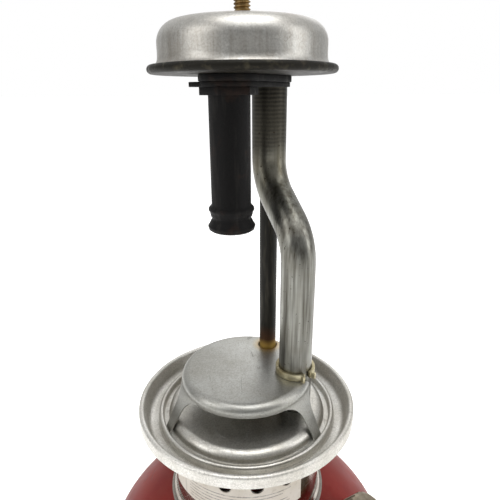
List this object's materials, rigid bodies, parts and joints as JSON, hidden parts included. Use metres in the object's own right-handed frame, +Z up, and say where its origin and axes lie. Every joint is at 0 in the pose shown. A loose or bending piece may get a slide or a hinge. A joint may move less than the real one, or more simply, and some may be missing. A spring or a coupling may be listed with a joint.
{
  "type": "pressure lantern base",
  "caption": "Liquid-fuel pressure lantern without its hood, globe and bail: fount, vented collar, globe rest, heat shields, generator, mixing tube, burner and valve.",
  "frame": {"origin": "centre of the base, on the plane that the lantern stands on", "axes": "+Z up the lantern's axis towards the ventilator stud; -Y is the front, where the label is; +X is the filler cap's side"},
  "size_m": [0.158, 0.158, 0.335],
  "materials": {
    "red_paint": "gloss",
    "nickel": "worn nickel plate",
    "cap_metal": "dull, worn",
    "label": "printed label, satin",
    "rest_metal": "satin",
    "shield_metal": "satin, heat-stained",
    "clip_metal": "yellowed",
    "tube_metal": "bare, heat-stained",
    "burnt_iron": "sooty, matte",
    "burnt_steel": "heat-blackened",
    "dome_metal": "satin, lightly brushed",
    "brass": "satin",
    "stud_brass": "tarnished",
    "black_plastic": "moulded",
    "steel": "plated",
    "leather": "oiled",
    "gasket": "matte"
  },
  "bodies": {
    "fount": {"fount_dome": "red_paint", "fount_base": "red_paint", "filler_neck": "brass", "pump_barrel": "brass", "pump_cover": "nickel", "pump_screws": "steel", "check_valve": "brass", "valve_bushing": "brass", "valve_body": "brass", "fuel_pickup": "brass", "packing_nut": "brass", "valve_packing": "gasket", "direction_disc": "steel", "disc_nut": "steel", "cleaner_nut": "brass", "generator_nut": "brass", "generator_tube": "burnt_steel", "generator_tip": "brass", "collar": "nickel", "collar_label": "label", "globe_rest": "rest_metal", "rest_tab": "rest_metal", "base_plate": "shield_metal", "ring_nut": "brass", "heat_shield": "shield_metal", "tube_clip": "clip_metal", "mixing_tube": "tube_metal", "manifold": "burnt_iron", "retainer_plate": "burnt_iron", "burner_locknut": "burnt_iron", "burner_tube": "burnt_iron", "burner_screen": "burnt_steel", "chamber_base": "burnt_iron", "chamber_dome": "dome_metal", "stud": "stud_brass", "stud_nut": "brass"},
    "valve": {"valve_stem": "steel", "valve_wheel": "black_plastic", "wheel_screw": "steel"},
    "cleaner": {"cleaner_stem": "steel", "cleaner_lever": "steel"},
    "needle": {"needle_carrier": "brass", "cleaning_needle": "steel"},
    "pump_stem": {"air_stem": "brass"},
    "plunger": {"plunger_rod": "steel", "pump_knob": "nickel", "pump_cup": "leather", "cup_washers": "steel"},
    "cap_core": {"cap_insert": "steel", "cap_gasket": "gasket"},
    "cap": {"filler_cap": "cap_metal"}
  },
  "joints": [
    {"name": "valve_turn", "type": "hinge", "parent": "fount", "child": "valve", "pos_m": [0.01145, 0.01983, 0.10881], "axis": [0.5, 0.866, 0], "range_deg": [0, 450]},
    {"name": "cleaner_turn", "type": "hinge", "parent": "fount", "child": "cleaner", "pos_m": [0.01145, 0.01983, 0.11641], "axis": [0.866, -0.5, 0], "range_deg": [0, 180]},
    {"name": "needle_lift", "type": "slide", "parent": "fount", "child": "needle", "axis": [0, 0, 1], "range_m": [0, 0.0025]},
    {"name": "pump_turn", "type": "hinge", "parent": "fount", "child": "pump_stem", "pos_m": [-0.03556, 0.05079, 0.07741], "axis": [-0.464, 0.6627, 0.5878], "range_deg": [0, 360]},
    {"name": "pump_stroke", "type": "slide", "parent": "pump_stem", "child": "plunger", "axis": [-0.464, 0.6627, 0.5878], "range_m": [0, 0.082]},
    {"name": "cap_lift", "type": "slide", "parent": "fount", "child": "cap_core", "axis": [0.598, -0.2538, 0.7602], "range_m": [0, 0.0049]},
    {"name": "cap_turn", "type": "hinge", "parent": "cap_core", "child": "cap", "pos_m": [0.05293, -0.02247, 0.08161], "axis": [0.598, -0.2538, 0.7602], "range_deg": [0, 1080]}
  ],
  "couplings": [
    {"joint": "needle_lift", "follows": "cleaner_turn", "m_per_rad": 0.000764},
    {"joint": "cap_lift", "follows": "cap_turn", "m_per_rad": 0.00025266}
  ]
}
